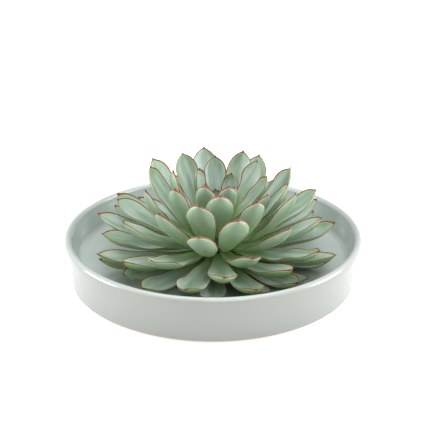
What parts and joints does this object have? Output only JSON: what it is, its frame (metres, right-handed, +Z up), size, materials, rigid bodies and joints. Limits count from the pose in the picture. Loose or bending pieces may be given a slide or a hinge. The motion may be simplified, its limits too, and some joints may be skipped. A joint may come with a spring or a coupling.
{
  "type": "potted succulent",
  "caption": "Rosette succulent with fleshy pointed leaves spiralling from a short stem, resting in a shallow round glazed bowl.",
  "frame": {"origin": "centre of the bowl's flat base, on the surface it stands on", "axes": "+Z up along the bowl's axis, -Y towards the front, +X to the right"},
  "size_m": [0.24, 0.24, 0.0989],
  "materials": {
    "glaze": "pale grey-green gloss glaze, bare clay at the foot",
    "stem": "green-brown corky bark",
    "leaf": "waxy sage green with red margins, living leaf tissue"
  },
  "bodies": {
    "root": {"bowl": "glaze", "stem": "stem", "heart": "leaf", "leaf_01": "leaf", "leaf_02": "leaf", "leaf_03": "leaf", "leaf_04": "leaf", "leaf_05": "leaf", "leaf_06": "leaf", "leaf_07": "leaf", "leaf_08": "leaf", "leaf_09": "leaf", "leaf_10": "leaf", "leaf_11": "leaf", "leaf_12": "leaf", "leaf_13": "leaf", "leaf_14": "leaf", "leaf_15": "leaf", "leaf_16": "leaf", "leaf_17": "leaf", "leaf_18": "leaf", "leaf_19": "leaf", "leaf_20": "leaf", "leaf_21": "leaf", "leaf_22": "leaf", "leaf_23": "leaf", "leaf_24": "leaf", "leaf_25": "leaf", "leaf_26": "leaf", "leaf_27": "leaf", "leaf_28": "leaf", "leaf_29": "leaf", "leaf_30": "leaf", "leaf_31": "leaf", "leaf_32": "leaf", "leaf_33": "leaf", "leaf_34": "leaf", "leaf_35": "leaf", "leaf_36": "leaf", "leaf_37": "leaf", "leaf_38": "leaf", "leaf_39": "leaf", "leaf_40": "leaf", "leaf_41": "leaf", "leaf_42": "leaf", "leaf_43": "leaf", "leaf_44": "leaf", "leaf_45": "leaf", "leaf_46": "leaf", "leaf_47": "leaf", "leaf_48": "leaf", "leaf_49": "leaf", "leaf_50": "leaf", "leaf_51": "leaf", "leaf_52": "leaf", "leaf_53": "leaf", "leaf_54": "leaf", "leaf_55": "leaf", "leaf_56": "leaf", "leaf_57": "leaf"}
  },
  "joints": []
}
